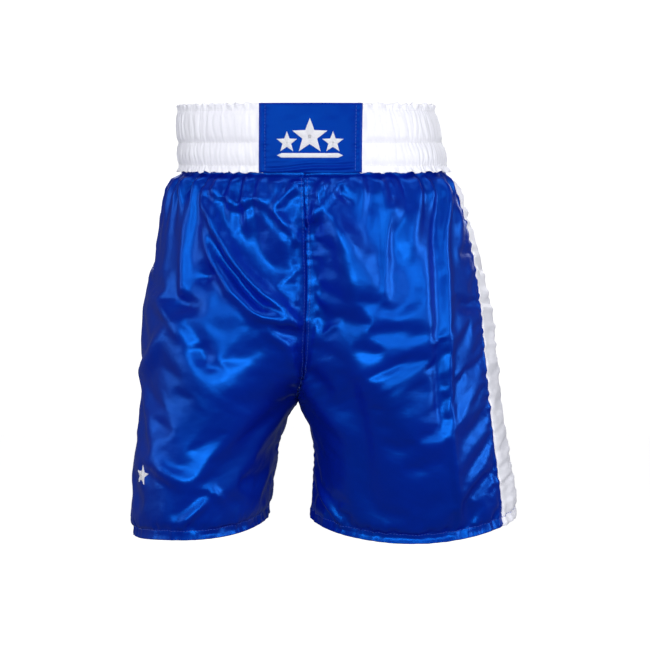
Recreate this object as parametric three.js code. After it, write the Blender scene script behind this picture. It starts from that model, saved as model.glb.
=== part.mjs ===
// Satin boxing shorts as worn: a gathered elastic waistband with a plain front badge, four leg
// panels and two contrast side stripes. Millimetres, +Z up, the wearer faces -Y and their left is +X.
// The origin is the centre of the waist opening, level with the top edge of the band.
import * as THREE from "three";
import { TessellateModifier } from "three/addons/modifiers/TessellateModifier.js";

// ---- Driving dimensions ----
const GAP = 0.3; // between pieces that are sewn edge to edge or face to face
const CLOTH = 0.8; // a panel's satin with its overlocked seam allowance, averaged
const OUTSEAM = 501; // top edge of the band to the lowest point of the hem
const RISE = 340; // top edge of the band to the lowest point of the crotch
const BAND = { halfWidth: 148, halfDepth: 104 }; // of the waist opening, at the band's top edge
const TAPER = { x: 8, y: 5, lean: 9 }; // how much more the lower edge has, and its shift along X
const RUFFLE = { top: 7.5, bottom: 7.7 }; // band outside its first and last rows of stitching
const ELASTIC = { thickness: 1.4, upper: 32, lower: 22, ease: 3.4 }; // webbing, and its channel's ease
const CASING = { wall: 1, channel: 2.6 }; // the folded white strip and the space for the elastic
const BADGE = { centreX: 16.5, width: 112, stiffener: 1.6, margin: 2 }; // the band's plain blue front
const BADGE_STITCH = 6.5; // from its side edges to its rows of stitching
const HEM = { height: 12.5, layers: 2.4, stitch: 10.5 }; // turn-up, its layers of cloth, its stitching
const THREAD = 0.6; // diameter of a topstitching row
const TOPSTITCH = { aside: 3.2, ends: 0.86 }; // rows beside the centre seam, and their end down the rise
const EMBROIDERY = 1; // how far the padded satin stitch stands up
const STAR_WAIST = 0.42; // a star's inner points, as a share of its radius
const EMBLEM = { star: 20, sideStar: 12, spread: 25, barWidth: 72, bar: 5, space: 2 };
const LEG_STAR = { radius: 12, aboveHem: 77, turn: 46 }; // on the right leg, degrees forward of its side
const LABEL = { width: 34, length: 46, thickness: 0.6, inset: 6, drop: 1 }; // drop is from the seam

// How much further the cloth stands out than the band's lower edge: to the wearer's right or left,
// and to the front and back. "at" is 0 at the band's seam, 1 at the crotch and 2 at the hem.
const FLARE = {
  "-1": [
    { at: 0, out: 2, front: 1, back: 1 },
    { at: 0.09, out: 14, front: 9, back: 10 },
    { at: 0.35, out: 29, front: 17, back: 21 },
    { at: 0.62, out: 43, front: 18, back: 27 },
    { at: 1, out: 46, front: 16, back: 18 },
    { at: 1.5, out: 54, front: 19, back: 13 },
    { at: 2, out: 57, front: 19, back: 9 },
  ],
  1: [
    { at: 0, out: 2, front: 1, back: 1 },
    { at: 0.09, out: 15, front: 9, back: 10 },
    { at: 0.35, out: 35, front: 17, back: 21 },
    { at: 0.62, out: 52, front: 18, back: 27 },
    { at: 1, out: 64, front: 5, back: 9 },
    { at: 1.5, out: 75, front: -9, back: -5 },
    { at: 2, out: 85, front: -27, back: -17 },
  ],
};
// The centre seam's place from the middle of the band, and from it to each leg's inner side.
const MIDLINE = [
  { at: 0, x: 2 },
  { at: 0.5, x: 5 },
  { at: 0.85, x: -2 },
  { at: 1, x: -16 },
  { at: 2, x: -16 },
];
const INNER = {
  "-1": [
    { at: 1, gap: 0 },
    { at: 1.08, gap: 10 },
    { at: 1.22, gap: 19.5 },
    { at: 1.4, gap: 26 },
    { at: 1.65, gap: 31 },
    { at: 2, gap: 36 },
  ],
  1: [
    { at: 1, gap: 0 },
    { at: 1.08, gap: 5 },
    { at: 1.22, gap: 13 },
    { at: 1.5, gap: 17.5 },
    { at: 1.7, gap: 17 },
    { at: 2, gap: 11 },
  ],
};
// How far the worn hem rises above its lowest point at each side of the leg.
const HEM_RISE = {
  "-1": { outer: 0, front: 18, inner: 17, back: 4 },
  1: { outer: 22, front: 7, inner: 18, back: 6 },
};
// The stripe's front and back edges, in degrees round the leg from its outermost line to the front.
const STRIPE = {
  "-1": [
    { at: 0, front: -2, back: -22 },
    { at: 1, front: -4, back: -37 },
    { at: 2, front: -4, back: -37 },
  ],
  1: [
    { at: 0, front: -2, back: -21 },
    { at: 0.09, front: 0, back: -20 },
    { at: 0.35, front: 13, back: -16 },
    { at: 0.8, front: 25, back: -11 },
    { at: 1.3, front: 29, back: -10 },
    { at: 2, front: 30, back: -14 },
  ],
};
const SIDES = { right: -1, left: 1 }; // the wearer's side, and its sign along X
const BLEND = 70; // how far from the centre seam the two halves are drawn to the same depth

// ---- Materials ----
const satin = (color) => new THREE.MeshStandardMaterial({ color, roughness: 0.35, metalness: 0 });
const MATERIAL = {
  blue: satin(0x1038b4),
  white: satin(0xf2f2f6),
  lining: new THREE.MeshStandardMaterial({ color: 0xd9dade, roughness: 0.9 }),
  elastic: new THREE.MeshStandardMaterial({ color: 0xe6e4de, roughness: 0.85 }),
  blueThread: new THREE.MeshStandardMaterial({ color: 0x2a55c8, roughness: 0.6 }),
  whiteThread: new THREE.MeshStandardMaterial({ color: 0xf4f4f4, roughness: 0.6 }),
};

const shorts = new THREE.Group();

function add(name, geometry, material) {
  const mesh = new THREE.Mesh(geometry, material);
  mesh.name = name;
  shorts.add(mesh);
  return mesh;
}

// ---- Curves through stations ----
// The value of one key at a place among stations, on a smooth curve that doesn't overshoot.
function along(stations, key, at) {
  const last = stations.length - 1;
  const slope = (i) => {
    if (i === 0 || i === last) return 0;
    const before = (stations[i][key] - stations[i - 1][key]) / (stations[i].at - stations[i - 1].at);
    const after = (stations[i + 1][key] - stations[i][key]) / (stations[i + 1].at - stations[i].at);
    return before * after <= 0 ? 0 : (2 * before * after) / (before + after);
  };
  const place = THREE.MathUtils.clamp(at, stations[0].at, stations[last].at);
  const i = Math.max(0, Math.min(last - 1, stations.findIndex((s) => s.at > place) - 1));
  const k = place >= stations[last].at ? last - 1 : i;
  const span = stations[k + 1].at - stations[k].at;
  const u = (place - stations[k].at) / span;
  const rise = stations[k + 1][key] - stations[k][key];
  const ease = u * u * (3 - 2 * u);
  return stations[k][key] + rise * ease
    + span * (slope(k) * u * (1 - u) ** 2 - slope(k + 1) * u * u * (1 - u));
}

// ---- Heights ----
const rowTop = RUFFLE.top;
const rowMiddle = rowTop + ELASTIC.upper + ELASTIC.ease;
const rowBottom = rowMiddle + ELASTIC.lower + ELASTIC.ease;
const BAND_HEIGHT = rowBottom + RUFFLE.bottom;
const SEAM = BAND_HEIGHT + GAP; // drop of the panels' top edge
const HEM_TOP = OUTSEAM - HEM.height;

// The band's half width, half depth and centre at a drop.
function bandOval(drop) {
  const u = drop / BAND_HEIGHT;
  return { x: BAND.halfWidth + TAPER.x * u, y: BAND.halfDepth + TAPER.y * u, centre: TAPER.lean * u };
}
const SEAM_OVAL = bandOval(BAND_HEIGHT);

// ---- The body of the shorts ----
const levelOf = (drop) =>
  drop <= RISE ? (drop - SEAM) / (RISE - SEAM) : 1 + (drop - RISE) / (OUTSEAM - RISE);

// One half's outline at a drop: an ellipse that the centre plane cuts off above the crotch. Its
// centre moves out from the centre plane until, at the crotch, it is a leg of its own.
function outline(side, drop) {
  const at = levelOf(drop);
  const flare = (key) => along(FLARE[side], key, at);
  const front = SEAM_OVAL.y + flare("front");
  const back = SEAM_OVAL.y + flare("back");
  const middle = SEAM_OVAL.centre + along(MIDLINE, "x", at);
  const apart = Math.min(1, at) ** 2; // 0 for one shared ellipse, 1 for two legs that touch
  const inner = along(INNER[side], "gap", at);
  const reach = SEAM_OVAL.x + side * (SEAM_OVAL.centre - middle) + flare("out") - inner;
  const halfWidth = reach / (1 + apart);
  return {
    middle,
    apart,
    centre: inner + halfWidth * apart, // from the centre plane, outwards
    halfWidth,
    halfDepth: (front + back) / 2,
    y: (back - front) / 2,
  };
}

// Where the outline meets the centre plane, in radians round the leg from its outermost line.
function seamAngle(side, drop) {
  const o = outline(side, drop);
  const cut = drop < RISE ? (GAP / 2 - o.centre) / o.halfWidth : -1;
  return cut > -1 ? Math.acos(cut) : Math.PI - GAP / 2 / o.halfDepth;
}

// The hem isn't level as worn: each quarter turn of the leg has its own height, eased between them.
function hemRise(side, drop, angle) {
  const rise = HEM_RISE[side];
  const across = Math.cos(angle) > 0 ? rise.outer : rise.inner;
  const along = Math.sin(angle) > 0 ? rise.front : rise.back;
  const share = THREE.MathUtils.smoothstep(levelOf(drop), 1, levelOf(HEM_TOP));
  return share * (across * Math.cos(angle) ** 2 + along * Math.sin(angle) ** 2);
}

// A point on the outer face: angle 0 is the outermost line, a quarter turn is the front.
function onBody(side, drop, angle) {
  const o = outline(side, drop);
  const fromMiddle = o.centre + o.halfWidth * Math.cos(angle);
  let y = o.y - o.halfDepth * Math.sin(angle);
  if (o.apart < 1) {
    const other = outline(-side, drop);
    const edge = Math.sqrt(1 - o.apart ** 2) * Math.sign(angle);
    const shift = (other.y - other.halfDepth * edge - (o.y - o.halfDepth * edge)) / 2;
    const u = THREE.MathUtils.smoothstep(fromMiddle, 0, BLEND);
    y += shift * (1 - u);
  }
  return new THREE.Vector3(o.middle + side * fromMiddle, y, hemRise(side, drop, angle) - drop);
}

function outward(side, drop, angle) {
  const step = { drop: 0.5, angle: 0.002 };
  const lowest = Math.min(drop, OUTSEAM - step.drop);
  const down = onBody(side, lowest + step.drop, angle).sub(onBody(side, lowest, angle));
  const round = onBody(side, drop, angle + step.angle).sub(onBody(side, drop, angle - step.angle));
  return round.cross(down).multiplyScalar(side).normalize();
}

const offBody = (side, drop, angle, out) =>
  onBody(side, drop, angle).addScaledVector(outward(side, drop, angle), out);

// ---- Solids ----
// Turns the faces of a closed geometry so that they point out.
function facingOut(geometry) {
  const p = geometry.attributes.position;
  const index = Array.from(geometry.index.array);
  const [a, b, c] = [new THREE.Vector3(), new THREE.Vector3(), new THREE.Vector3()];
  let volume = 0;
  for (let i = 0; i < index.length; i += 3) {
    a.fromBufferAttribute(p, index[i]);
    b.fromBufferAttribute(p, index[i + 1]);
    c.fromBufferAttribute(p, index[i + 2]);
    volume += a.dot(b.cross(c));
  }
  if (volume < 0) geometry.setIndex(index.reverse());
  return geometry;
}

// A closed solid through a row of closed loops of equally many points, capped at its two ends.
// flat(point, i) gives a loop's own plane coordinates, in which its cap is cut into triangles.
// From the point backFrom on, each loop runs back along its own first part, as a sheet's inner
// face does, and the wall there is cut on the same diagonals as the one it follows.
function loft(loops, flat, backFrom = Infinity) {
  const n = loops[0].length;
  const index = [];
  for (let k = 0; k + 1 < loops.length; k++)
    for (let i = 0; i < n; i++) {
      const [a, b] = [k * n + i, k * n + ((i + 1) % n)];
      if (i < backFrom) index.push(a, b, b + n, a, b + n, a + n);
      else index.push(a, b, a + n, b, b + n, a + n);
    }
  const cap = (k) =>
    THREE.ShapeUtils.triangulateShape(loops[k].map(flat), []).map((t) => t.map((i) => k * n + i));
  const [first, last] = [cap(0), cap(loops.length - 1)];
  // A wall triangle on the loop's edge 0-1 runs that edge forwards, so the first cap runs it back.
  const runsForwards = (triangles, base) =>
    triangles.some((t) => t.some((v, i) => v === base && t[(i + 1) % 3] === base + 1));
  const turned = (triangles, wanted, base) =>
    runsForwards(triangles, base) === wanted ? triangles : triangles.map((t) => t.reverse());
  index.push(...turned(first, false, 0).flat());
  index.push(...turned(last, true, (loops.length - 1) * n).flat());
  const geometry = new THREE.BufferGeometry().setFromPoints(loops.flat());
  geometry.setIndex(index);
  return facingOut(geometry);
}

const byPlan = (point) => new THREE.Vector2(point.x, point.y);

// ---- Leg panels and stripes ----
const UPPER_ROWS = 12;
const LEG_ROWS = 8;
const CROWD = 1.3; // over 1 crowds the rows of points towards where a stretch starts
const STEP = 0.5; // height of the ledge where the turn-up ends

const spread = (from, to, count) =>
  Array.from({ length: count }, (_, k) => from + (to - from) * (k / count) ** CROWD);
const ROWS = [
  ...spread(SEAM, RISE, UPPER_ROWS),
  ...spread(RISE, HEM_TOP - STEP, LEG_ROWS),
  HEM_TOP - STEP,
  HEM_TOP,
  OUTSEAM,
];

function edgesOf(side, drop) {
  const at = levelOf(drop);
  const degrees = (key) => THREE.MathUtils.degToRad(along(STRIPE[side], key, at));
  const half = GAP / 2 / outline(side, drop).halfDepth;
  return { seam: seamAngle(side, drop), front: degrees("front"), back: degrees("back"), half };
}

// The first and last angle of a named piece at a drop.
const SPAN = {
  front_panel: (e) => [e.seam, e.front + e.half],
  side_stripe: (e) => [e.front - e.half, e.back + e.half],
  back_panel: (e) => [e.back - e.half, -e.seam],
};
const COLUMNS = { front_panel: 10, side_stripe: 3, back_panel: 10 };

function columnAngles(kind, edges) {
  const [from, to] = SPAN[kind](edges);
  const columns = COLUMNS[kind];
  return Array.from({ length: columns + 1 }, (_, i) => from + ((to - from) * i) / columns);
}

function shell(side, kind) {
  const loops = ROWS.map((drop) => {
    const thickness = CLOTH * (drop >= HEM_TOP ? HEM.layers : 1);
    const angles = columnAngles(kind, edgesOf(side, drop));
    const outer = angles.map((angle) => onBody(side, drop, angle));
    const inner = angles.map((angle) => offBody(side, drop, angle, -thickness));
    return [...outer, ...inner.reverse()];
  });
  return loft(loops, byPlan, COLUMNS[kind] + 1);
}

for (const [name, side] of Object.entries(SIDES)) {
  add(`front_panel_${name}`, shell(side, "front_panel"), MATERIAL.blue);
  add(`back_panel_${name}`, shell(side, "back_panel"), MATERIAL.blue);
  add(`side_stripe_${name}`, shell(side, "side_stripe"), MATERIAL.white);
}

// ---- Waistband ----
// A point of the band: turn 0 is the front centre line and grows towards the wearer's left.
function onBand(turn, drop, inset = 0) {
  const { x, y, centre } = bandOval(drop);
  const inwards = new THREE.Vector2(-y * Math.sin(turn), x * Math.cos(turn)).normalize();
  return new THREE.Vector3(
    x * Math.sin(turn) + inset * inwards.x + centre,
    -y * Math.cos(turn) + inset * inwards.y,
    -drop,
  );
}

// The turn at which the front of the band is at a given X.
function turnAt(x, drop) {
  const oval = bandOval(drop);
  return Math.asin((x - oval.centre) / oval.x);
}

// A profile of [inset, drop] pairs swept round the band, between two turns that edges(drop) gives.
function bandSweep(profile, edges, steps) {
  const loops = Array.from({ length: steps + 1 }, (_, k) =>
    profile.map(([inset, drop]) => {
      const [from, to] = edges(drop);
      return onBand(from + ((to - from) * k) / steps, drop, inset);
    }));
  return loft(loops, (_, i) => new THREE.Vector2(...profile[i]));
}

// Faces that lie against each other have points at the same drops, so that their facets match.
const face = (inset, drops) => drops.map((drop) => [inset, drop]);
const strip = (inset, thickness, drops) => [
  ...face(inset, drops),
  ...face(inset + thickness, drops.toReversed()),
];

const badgeSides = [BADGE.centreX - BADGE.width / 2, BADGE.centreX + BADGE.width / 2];
const badgeEdges = (drop) => badgeSides.map((x) => turnAt(x, drop));
const casingEdges = (drop) => {
  const [right, left] = [badgeSides[0] - GAP, badgeSides[1] + GAP].map((x) => turnAt(x, drop));
  return [left, right + 2 * Math.PI];
};
const bandThickness = 2 * CASING.wall + CASING.channel;
const CASING_STEPS = 44;
const BADGE_STEPS = 12;

// Two widths of webbing lie in the channels between the rows of stitching.
const upperElastic = [rowTop + ELASTIC.ease / 2, rowMiddle - ELASTIC.ease / 2];
const lowerElastic = [rowMiddle + ELASTIC.ease / 2, rowBottom - ELASTIC.ease / 2];
const elasticInset = CASING.wall + (CASING.channel - ELASTIC.thickness) / 2;
for (const [name, drops] of [["elastic_upper", upperElastic], ["elastic_lower", lowerElastic]]) {
  const profile = strip(elasticInset, ELASTIC.thickness, drops);
  add(name, bandSweep(profile, casingEdges, CASING_STEPS), MATERIAL.elastic);
}

// The white strip is folded over the top of the band, so its section is an upside-down U.
const besideElastic = [...upperElastic, ...lowerElastic, BAND_HEIGHT];
const casingProfile = [
  ...face(0, [0, ...besideElastic]),
  ...face(CASING.wall, [CASING.wall, ...besideElastic].reverse()),
  ...face(CASING.wall + CASING.channel, [CASING.wall, ...besideElastic]),
  ...face(bandThickness, [0, ...besideElastic].reverse()),
];
add("waistband_casing", bandSweep(casingProfile, casingEdges, CASING_STEPS), MATERIAL.white);

// The badge is plain satin over a stiffener, with a facing towards the wearer.
const facingInset = bandThickness - CASING.wall;
const stiffenerInset = (bandThickness - BADGE.stiffener) / 2;
const besideStiffener = [BADGE.margin, BAND_HEIGHT - BADGE.margin];
const badgeDrops = [0, ...besideStiffener, BAND_HEIGHT];
for (const [name, profile, material] of [
  ["badge_satin", strip(0, CASING.wall, badgeDrops), MATERIAL.blue],
  ["badge_stiffener", strip(stiffenerInset, BADGE.stiffener, besideStiffener), MATERIAL.lining],
  ["badge_facing", strip(facingInset, CASING.wall, badgeDrops), MATERIAL.blue],
])
  add(name, bandSweep(profile, badgeEdges, BADGE_STEPS), material);

// ---- Topstitching ----
// A row of stitches is a thread of four sides that stands just clear of the cloth.
const THREAD_SIDES = 4;
const threadOut = GAP + THREAD / 2;
const threadTurns = Array.from({ length: THREAD_SIDES }, (_, i) => (2 * Math.PI * i) / THREAD_SIDES);
const threadSection = threadTurns.map((turn) =>
  new THREE.Vector2(Math.cos(turn), Math.sin(turn)).multiplyScalar(THREAD / 2));

function thread(name, points, material, steps = points.length - 1) {
  const path = new THREE.CatmullRomCurve3(points);
  const section = new THREE.Shape(threadSection);
  add(name, new THREE.ExtrudeGeometry(section, { extrudePath: path, steps }), material);
}

// Three rows round the casing gather it onto the elastic.
for (const [name, drop] of [["top", rowTop], ["middle", rowMiddle], ["bottom", rowBottom]]) {
  const profile = threadSection.map((p) => [p.x - threadOut, p.y + drop]);
  const row = bandSweep(profile, casingEdges, CASING_STEPS);
  add(`waistband_stitch_${name}`, row, MATERIAL.whiteThread);
}

// A row down each side edge of the badge.
for (const [name, x] of [
  ["right", badgeSides[0] + BADGE_STITCH],
  ["left", badgeSides[1] - BADGE_STITCH],
]) {
  const points = besideStiffener.map((drop) => onBand(turnAt(x, drop), drop, -threadOut));
  thread(`badge_stitch_${name}`, points, MATERIAL.blueThread);
}

// Rows on both sides of the centre seam, front and back, down to where the legs part.
function beside(side, drop, end) {
  const o = outline(side, drop);
  const angle = Math.acos((TOPSTITCH.aside - o.centre) / o.halfWidth);
  return offBody(side, drop, end * angle, threadOut);
}
for (const [face, end] of [["front", 1], ["back", -1]])
  for (const [name, side] of Object.entries(SIDES)) {
    const drops = ROWS.filter((drop) => levelOf(drop) <= TOPSTITCH.ends);
    const points = drops.map((drop) => beside(side, drop, end));
    thread(`centre_${face}_stitch_${name}`, points, MATERIAL.blueThread, 2 * points.length);
  }

// One row round each hem, which starts and ends at the inside of the leg.
for (const [name, side] of Object.entries(SIDES)) {
  const anglesAt = (drop) =>
    Object.keys(SPAN).flatMap((kind) => columnAngles(kind, edgesOf(side, drop)));
  const lowerAngles = anglesAt(OUTSEAM);
  const loops = anglesAt(HEM_TOP).map((angle, i) =>
    threadSection.map((p) => {
      const lower = offBody(side, OUTSEAM, lowerAngles[i], threadOut + p.x);
      const share = (HEM.height - HEM.stitch + p.y) / HEM.height;
      return offBody(side, HEM_TOP, angle, threadOut + p.x).lerp(lower, share);
    }));
  const row = loft(loops, (_, i) => threadSection[i]);
  add(`hem_stitch_${name}`, row, MATERIAL.blueThread);
}

// ---- Embroidery ----
function starShape(radius) {
  const points = Array.from({ length: 10 }, (_, i) => {
    const turn = (i * Math.PI) / 5;
    const r = i % 2 ? radius * STAR_WAIST : radius;
    return new THREE.Vector2(r * Math.sin(turn), r * Math.cos(turn));
  });
  return new THREE.Shape(points);
}

function barShape(width, height) {
  const [w, h] = [width / 2, height / 2];
  const tip = new THREE.Vector2(w, 0);
  return new THREE.Shape([
    new THREE.Vector2(-w + height, h),
    tip.clone().negate(),
    new THREE.Vector2(-w + height, -h),
    new THREE.Vector2(w - height, -h),
    tip,
    new THREE.Vector2(w - height, h),
  ]);
}

// An extruded shape whose flat x and y are laid on a curved face by place(x, y, height).
function embroider(name, shape, place) {
  const LONGEST = 9; // of an edge, so that the patch follows the curve under it
  const flat = new THREE.ExtrudeGeometry(shape, { depth: EMBROIDERY, bevelEnabled: false });
  const fine = new TessellateModifier(LONGEST, 12).modify(flat);
  const p = fine.attributes.position;
  for (let i = 0; i < p.count; i++) {
    const laid = place(p.getX(i), p.getY(i), GAP + p.getZ(i));
    p.setXYZ(i, laid.x, laid.y, laid.z);
  }
  add(name, fine, MATERIAL.whiteThread);
}

const emblemDrop = BAND_HEIGHT / 2;
const onBadge = (offsetX, offsetY) => (x, y, height) => {
  const drop = emblemDrop - y - offsetY;
  return onBand(turnAt(BADGE.centreX + offsetX + x, drop), drop, -height);
};
// The stars stand on one line with the bar under it, and the whole emblem is centred in the band.
const starHeight = (radius) => radius * (1 + Math.cos(Math.PI / 5));
const baseline = (EMBLEM.space + EMBLEM.bar - starHeight(EMBLEM.star)) / 2;
const onLine = (radius) => baseline + radius * Math.cos(Math.PI / 5);
embroider("emblem_star_centre", starShape(EMBLEM.star), onBadge(0, onLine(EMBLEM.star)));
embroider("emblem_star_right", starShape(EMBLEM.sideStar),
  onBadge(-EMBLEM.spread, onLine(EMBLEM.sideStar)));
embroider("emblem_star_left", starShape(EMBLEM.sideStar),
  onBadge(EMBLEM.spread, onLine(EMBLEM.sideStar)));
embroider("emblem_bar", barShape(EMBLEM.barWidth, EMBLEM.bar),
  onBadge(0, baseline - EMBLEM.bar / 2 - EMBLEM.space));

const legStarAngle = THREE.MathUtils.degToRad(LEG_STAR.turn);
const legStarDrop = OUTSEAM - LEG_STAR.aboveHem;
const alongLeg = outline(SIDES.right, legStarDrop);
const perRadian = Math.hypot(
  alongLeg.halfWidth * Math.sin(legStarAngle),
  alongLeg.halfDepth * Math.cos(legStarAngle),
);
embroider("leg_star", starShape(LEG_STAR.radius), (x, y, height) =>
  offBody(SIDES.right, legStarDrop - y, legStarAngle + x / perRadian, height));

// ---- Care label ----
// A blank woven tab caught in the waist seam at the centre back. It hangs from its top edge.
const label = new THREE.BoxGeometry(LABEL.width, LABEL.thickness, LABEL.length);
const labelY = SEAM_OVAL.y - LABEL.inset;
const labelTop = SEAM + LABEL.drop;
add("care_label", label, MATERIAL.lining)
  .position.set(SEAM_OVAL.centre, labelY, -labelTop - LABEL.length / 2);

export default shorts;
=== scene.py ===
import math

import bpy
import numpy as np
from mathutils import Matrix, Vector
from mathutils.bvhtree import BVHTree


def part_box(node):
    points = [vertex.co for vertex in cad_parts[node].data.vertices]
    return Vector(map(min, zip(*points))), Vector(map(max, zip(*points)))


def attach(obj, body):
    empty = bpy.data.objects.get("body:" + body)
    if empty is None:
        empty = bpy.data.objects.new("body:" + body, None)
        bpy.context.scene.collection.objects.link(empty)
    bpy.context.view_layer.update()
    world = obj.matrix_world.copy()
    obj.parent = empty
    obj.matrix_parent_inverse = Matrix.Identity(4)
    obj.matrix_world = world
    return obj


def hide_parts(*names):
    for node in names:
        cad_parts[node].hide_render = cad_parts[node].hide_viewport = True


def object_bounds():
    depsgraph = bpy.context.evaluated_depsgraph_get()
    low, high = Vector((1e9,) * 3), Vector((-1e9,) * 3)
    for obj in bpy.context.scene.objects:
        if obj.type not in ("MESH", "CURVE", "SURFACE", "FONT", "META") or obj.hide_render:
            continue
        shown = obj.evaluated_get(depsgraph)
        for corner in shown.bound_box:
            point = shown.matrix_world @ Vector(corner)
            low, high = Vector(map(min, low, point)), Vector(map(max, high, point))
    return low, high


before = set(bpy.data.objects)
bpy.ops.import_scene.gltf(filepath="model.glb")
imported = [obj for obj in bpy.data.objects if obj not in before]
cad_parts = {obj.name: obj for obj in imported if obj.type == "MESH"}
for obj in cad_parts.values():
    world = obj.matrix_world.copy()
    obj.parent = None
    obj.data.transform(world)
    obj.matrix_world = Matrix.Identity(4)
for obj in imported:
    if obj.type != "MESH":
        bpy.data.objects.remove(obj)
cad_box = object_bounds()
MM = 0.001

# ==== Where it is shown ====
# The shorts keep their worn shape, with nobody in them, in front of a plain seamless paper sweep.
# Soft studio lights stand in front, at both sides, above and behind.
middle_of_shorts = (cad_box[0] + cad_box[1]) / 2
seen_from = {"turn": math.radians(5.5), "height": math.radians(6.3), "distance": 1.9}
towards_camera = Vector((
    math.sin(seen_from["turn"]) * math.cos(seen_from["height"]),
    -math.cos(seen_from["turn"]) * math.cos(seen_from["height"]),
    math.sin(seen_from["height"]),
))
looked_at = Vector((middle_of_shorts.x, 0, middle_of_shorts.z - 0.0045))
camera = bpy.data.objects.new("camera", bpy.data.cameras.new("camera"))
bpy.context.scene.collection.objects.link(camera)
bpy.context.scene.camera = camera
camera.data.sensor_width = 36
camera.data.lens = 90
camera.location = looked_at + towards_camera * seen_from["distance"]
camera.rotation_mode = "QUATERNION"
camera.rotation_quaternion = (-towards_camera).to_track_quat("-Z", "Y")


def put_mesh(name, points, faces, material, smooth=True):
    """A mesh object from points in millimetres."""
    mesh = bpy.data.meshes.new(name)
    mesh.from_pydata((np.asarray(points, float) * MM).tolist(), [], faces)
    mesh.polygons.foreach_set("use_smooth", [smooth] * len(mesh.polygons))
    mesh.update()
    mesh.materials.append(material)
    piece = bpy.data.objects.new(name, mesh)
    bpy.context.scene.collection.objects.link(piece)
    return piece


def new_material(name, **sockets):
    """A Principled material with these plain socket values, its node tree and its shader."""
    material = bpy.data.materials.new(name)
    material.use_nodes = True
    shader = material.node_tree.nodes["Principled BSDF"]
    for socket, value in sockets.items():
        shader.inputs[socket.replace("_", " ").title().replace("Ior", "IOR")].default_value = value
    return material, material.node_tree, shader


def finish_node(tree, kind, inputs, **settings):
    """A shader node with these settings, each input given a value or joined to an output."""
    node = tree.nodes.new("ShaderNode" + kind)
    for name, setting in settings.items():
        setattr(node, name, setting)
    join(tree, node, inputs)
    return node


def join(tree, node, inputs):
    for name, value in inputs.items():
        if isinstance(value, bpy.types.NodeSocket):
            tree.links.new(value, node.inputs[name])
        else:
            node.inputs[name].default_value = value


paper, paper_tree, paper_shader = new_material(
    "paper_sweep", base_color=(0.5, 0.5, 0.51, 1), roughness=0.9,
    emission_color=(1, 1, 1, 1), emission_strength=0.99)
paper_grain = finish_node(paper_tree, "TexNoise", {"Scale": 60})
paper_bump = finish_node(paper_tree, "Bump", {
    "Strength": 0.05, "Height": paper_grain.outputs["Fac"]})
join(paper_tree, paper_shader, {"Normal": paper_bump.outputs["Normal"]})

# The paper is a round floor that curves up into a wall on every side. It only stands behind the
# shorts: it neither lights them nor shades them.
floor_level, floor_radius, wall_bend, wall_top = -1000.0, 3600.0, 1200.0, 4200.0
sweep_line = [(0.0, floor_level), (floor_radius, floor_level)]
for step in range(1, 13):
    bend = math.pi / 2 * step / 12
    sweep_line.append((floor_radius + wall_bend * math.sin(bend),
                       floor_level + wall_bend * (1 - math.cos(bend))))
sweep_line.append((floor_radius + wall_bend, wall_top))
sweep_sides = 72
sweep_points = [(0.0, 0.0, floor_level)]
for radius, z in sweep_line[1:]:
    for k in range(sweep_sides):
        turn = 2 * math.pi * k / sweep_sides
        sweep_points.append((radius * math.cos(turn), radius * math.sin(turn), z))
sweep_faces = [(0, 1 + k, 1 + (k + 1) % sweep_sides) for k in range(sweep_sides)]
for step in range(len(sweep_line) - 2):
    low, high = 1 + step * sweep_sides, 1 + (step + 1) * sweep_sides
    for k in range(sweep_sides):
        j = (k + 1) % sweep_sides
        sweep_faces.append((low + k, low + j, high + j, high + k))
paper_sweep = put_mesh("paper_sweep", sweep_points, sweep_faces, paper)
paper_sweep.visible_diffuse = paper_sweep.visible_glossy = False
paper_sweep.visible_transmission = paper_sweep.visible_shadow = False


def soft_light(name, place, aim, size, power):
    lamp = bpy.data.lights.new(name, "AREA")
    lamp.shape = "RECTANGLE"
    lamp.size, lamp.size_y = size
    lamp.energy = power
    holder = bpy.data.objects.new(name, lamp)
    bpy.context.scene.collection.objects.link(holder)
    holder.location = place
    holder.rotation_mode = "QUATERNION"
    holder.rotation_quaternion = (Vector(aim) - Vector(place)).to_track_quat("-Z", "Y")


soft_light("front_left_light", (-0.95, -2.15, 0.62), (0, 0, -0.25), (0.9, 1.1), 14.5)
soft_light("front_right_light", (1.05, -2.1, 0.5), (0, 0, -0.25), (0.8, 1.1), 11.4)
soft_light("front_low_light", (-0.1, -2.4, -0.12), (0, 0, -0.3), (1.3, 0.6), 20)
soft_light("left_light", (-2.1, -0.7, 0.2), (0, 0, -0.25), (0.7, 1.3), 9)
soft_light("right_light", (2.1, -0.7, 0.2), (0, 0, -0.25), (0.7, 1.3), 19)
soft_light("top_light", (0.1, -0.5, 1.5), (0, 0, -0.3), (1.2, 0.7), 6)
soft_light("back_left_light", (-0.8, 2.1, 0.6), (0, 0.1, -0.25), (1.0, 1.2), 17)
soft_light("back_right_light", (0.8, 2.1, 0.5), (0, 0.1, -0.25), (1.0, 1.2), 15)
world = bpy.data.worlds.new("studio_air")
world.use_nodes = True
world.node_tree.nodes["Background"].inputs["Color"].default_value = (0.85, 0.89, 1.0, 1)
world.node_tree.nodes["Background"].inputs["Strength"].default_value = 0.17
bpy.context.scene.world = world
bpy.context.scene.view_settings.view_transform = "Standard"

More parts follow.
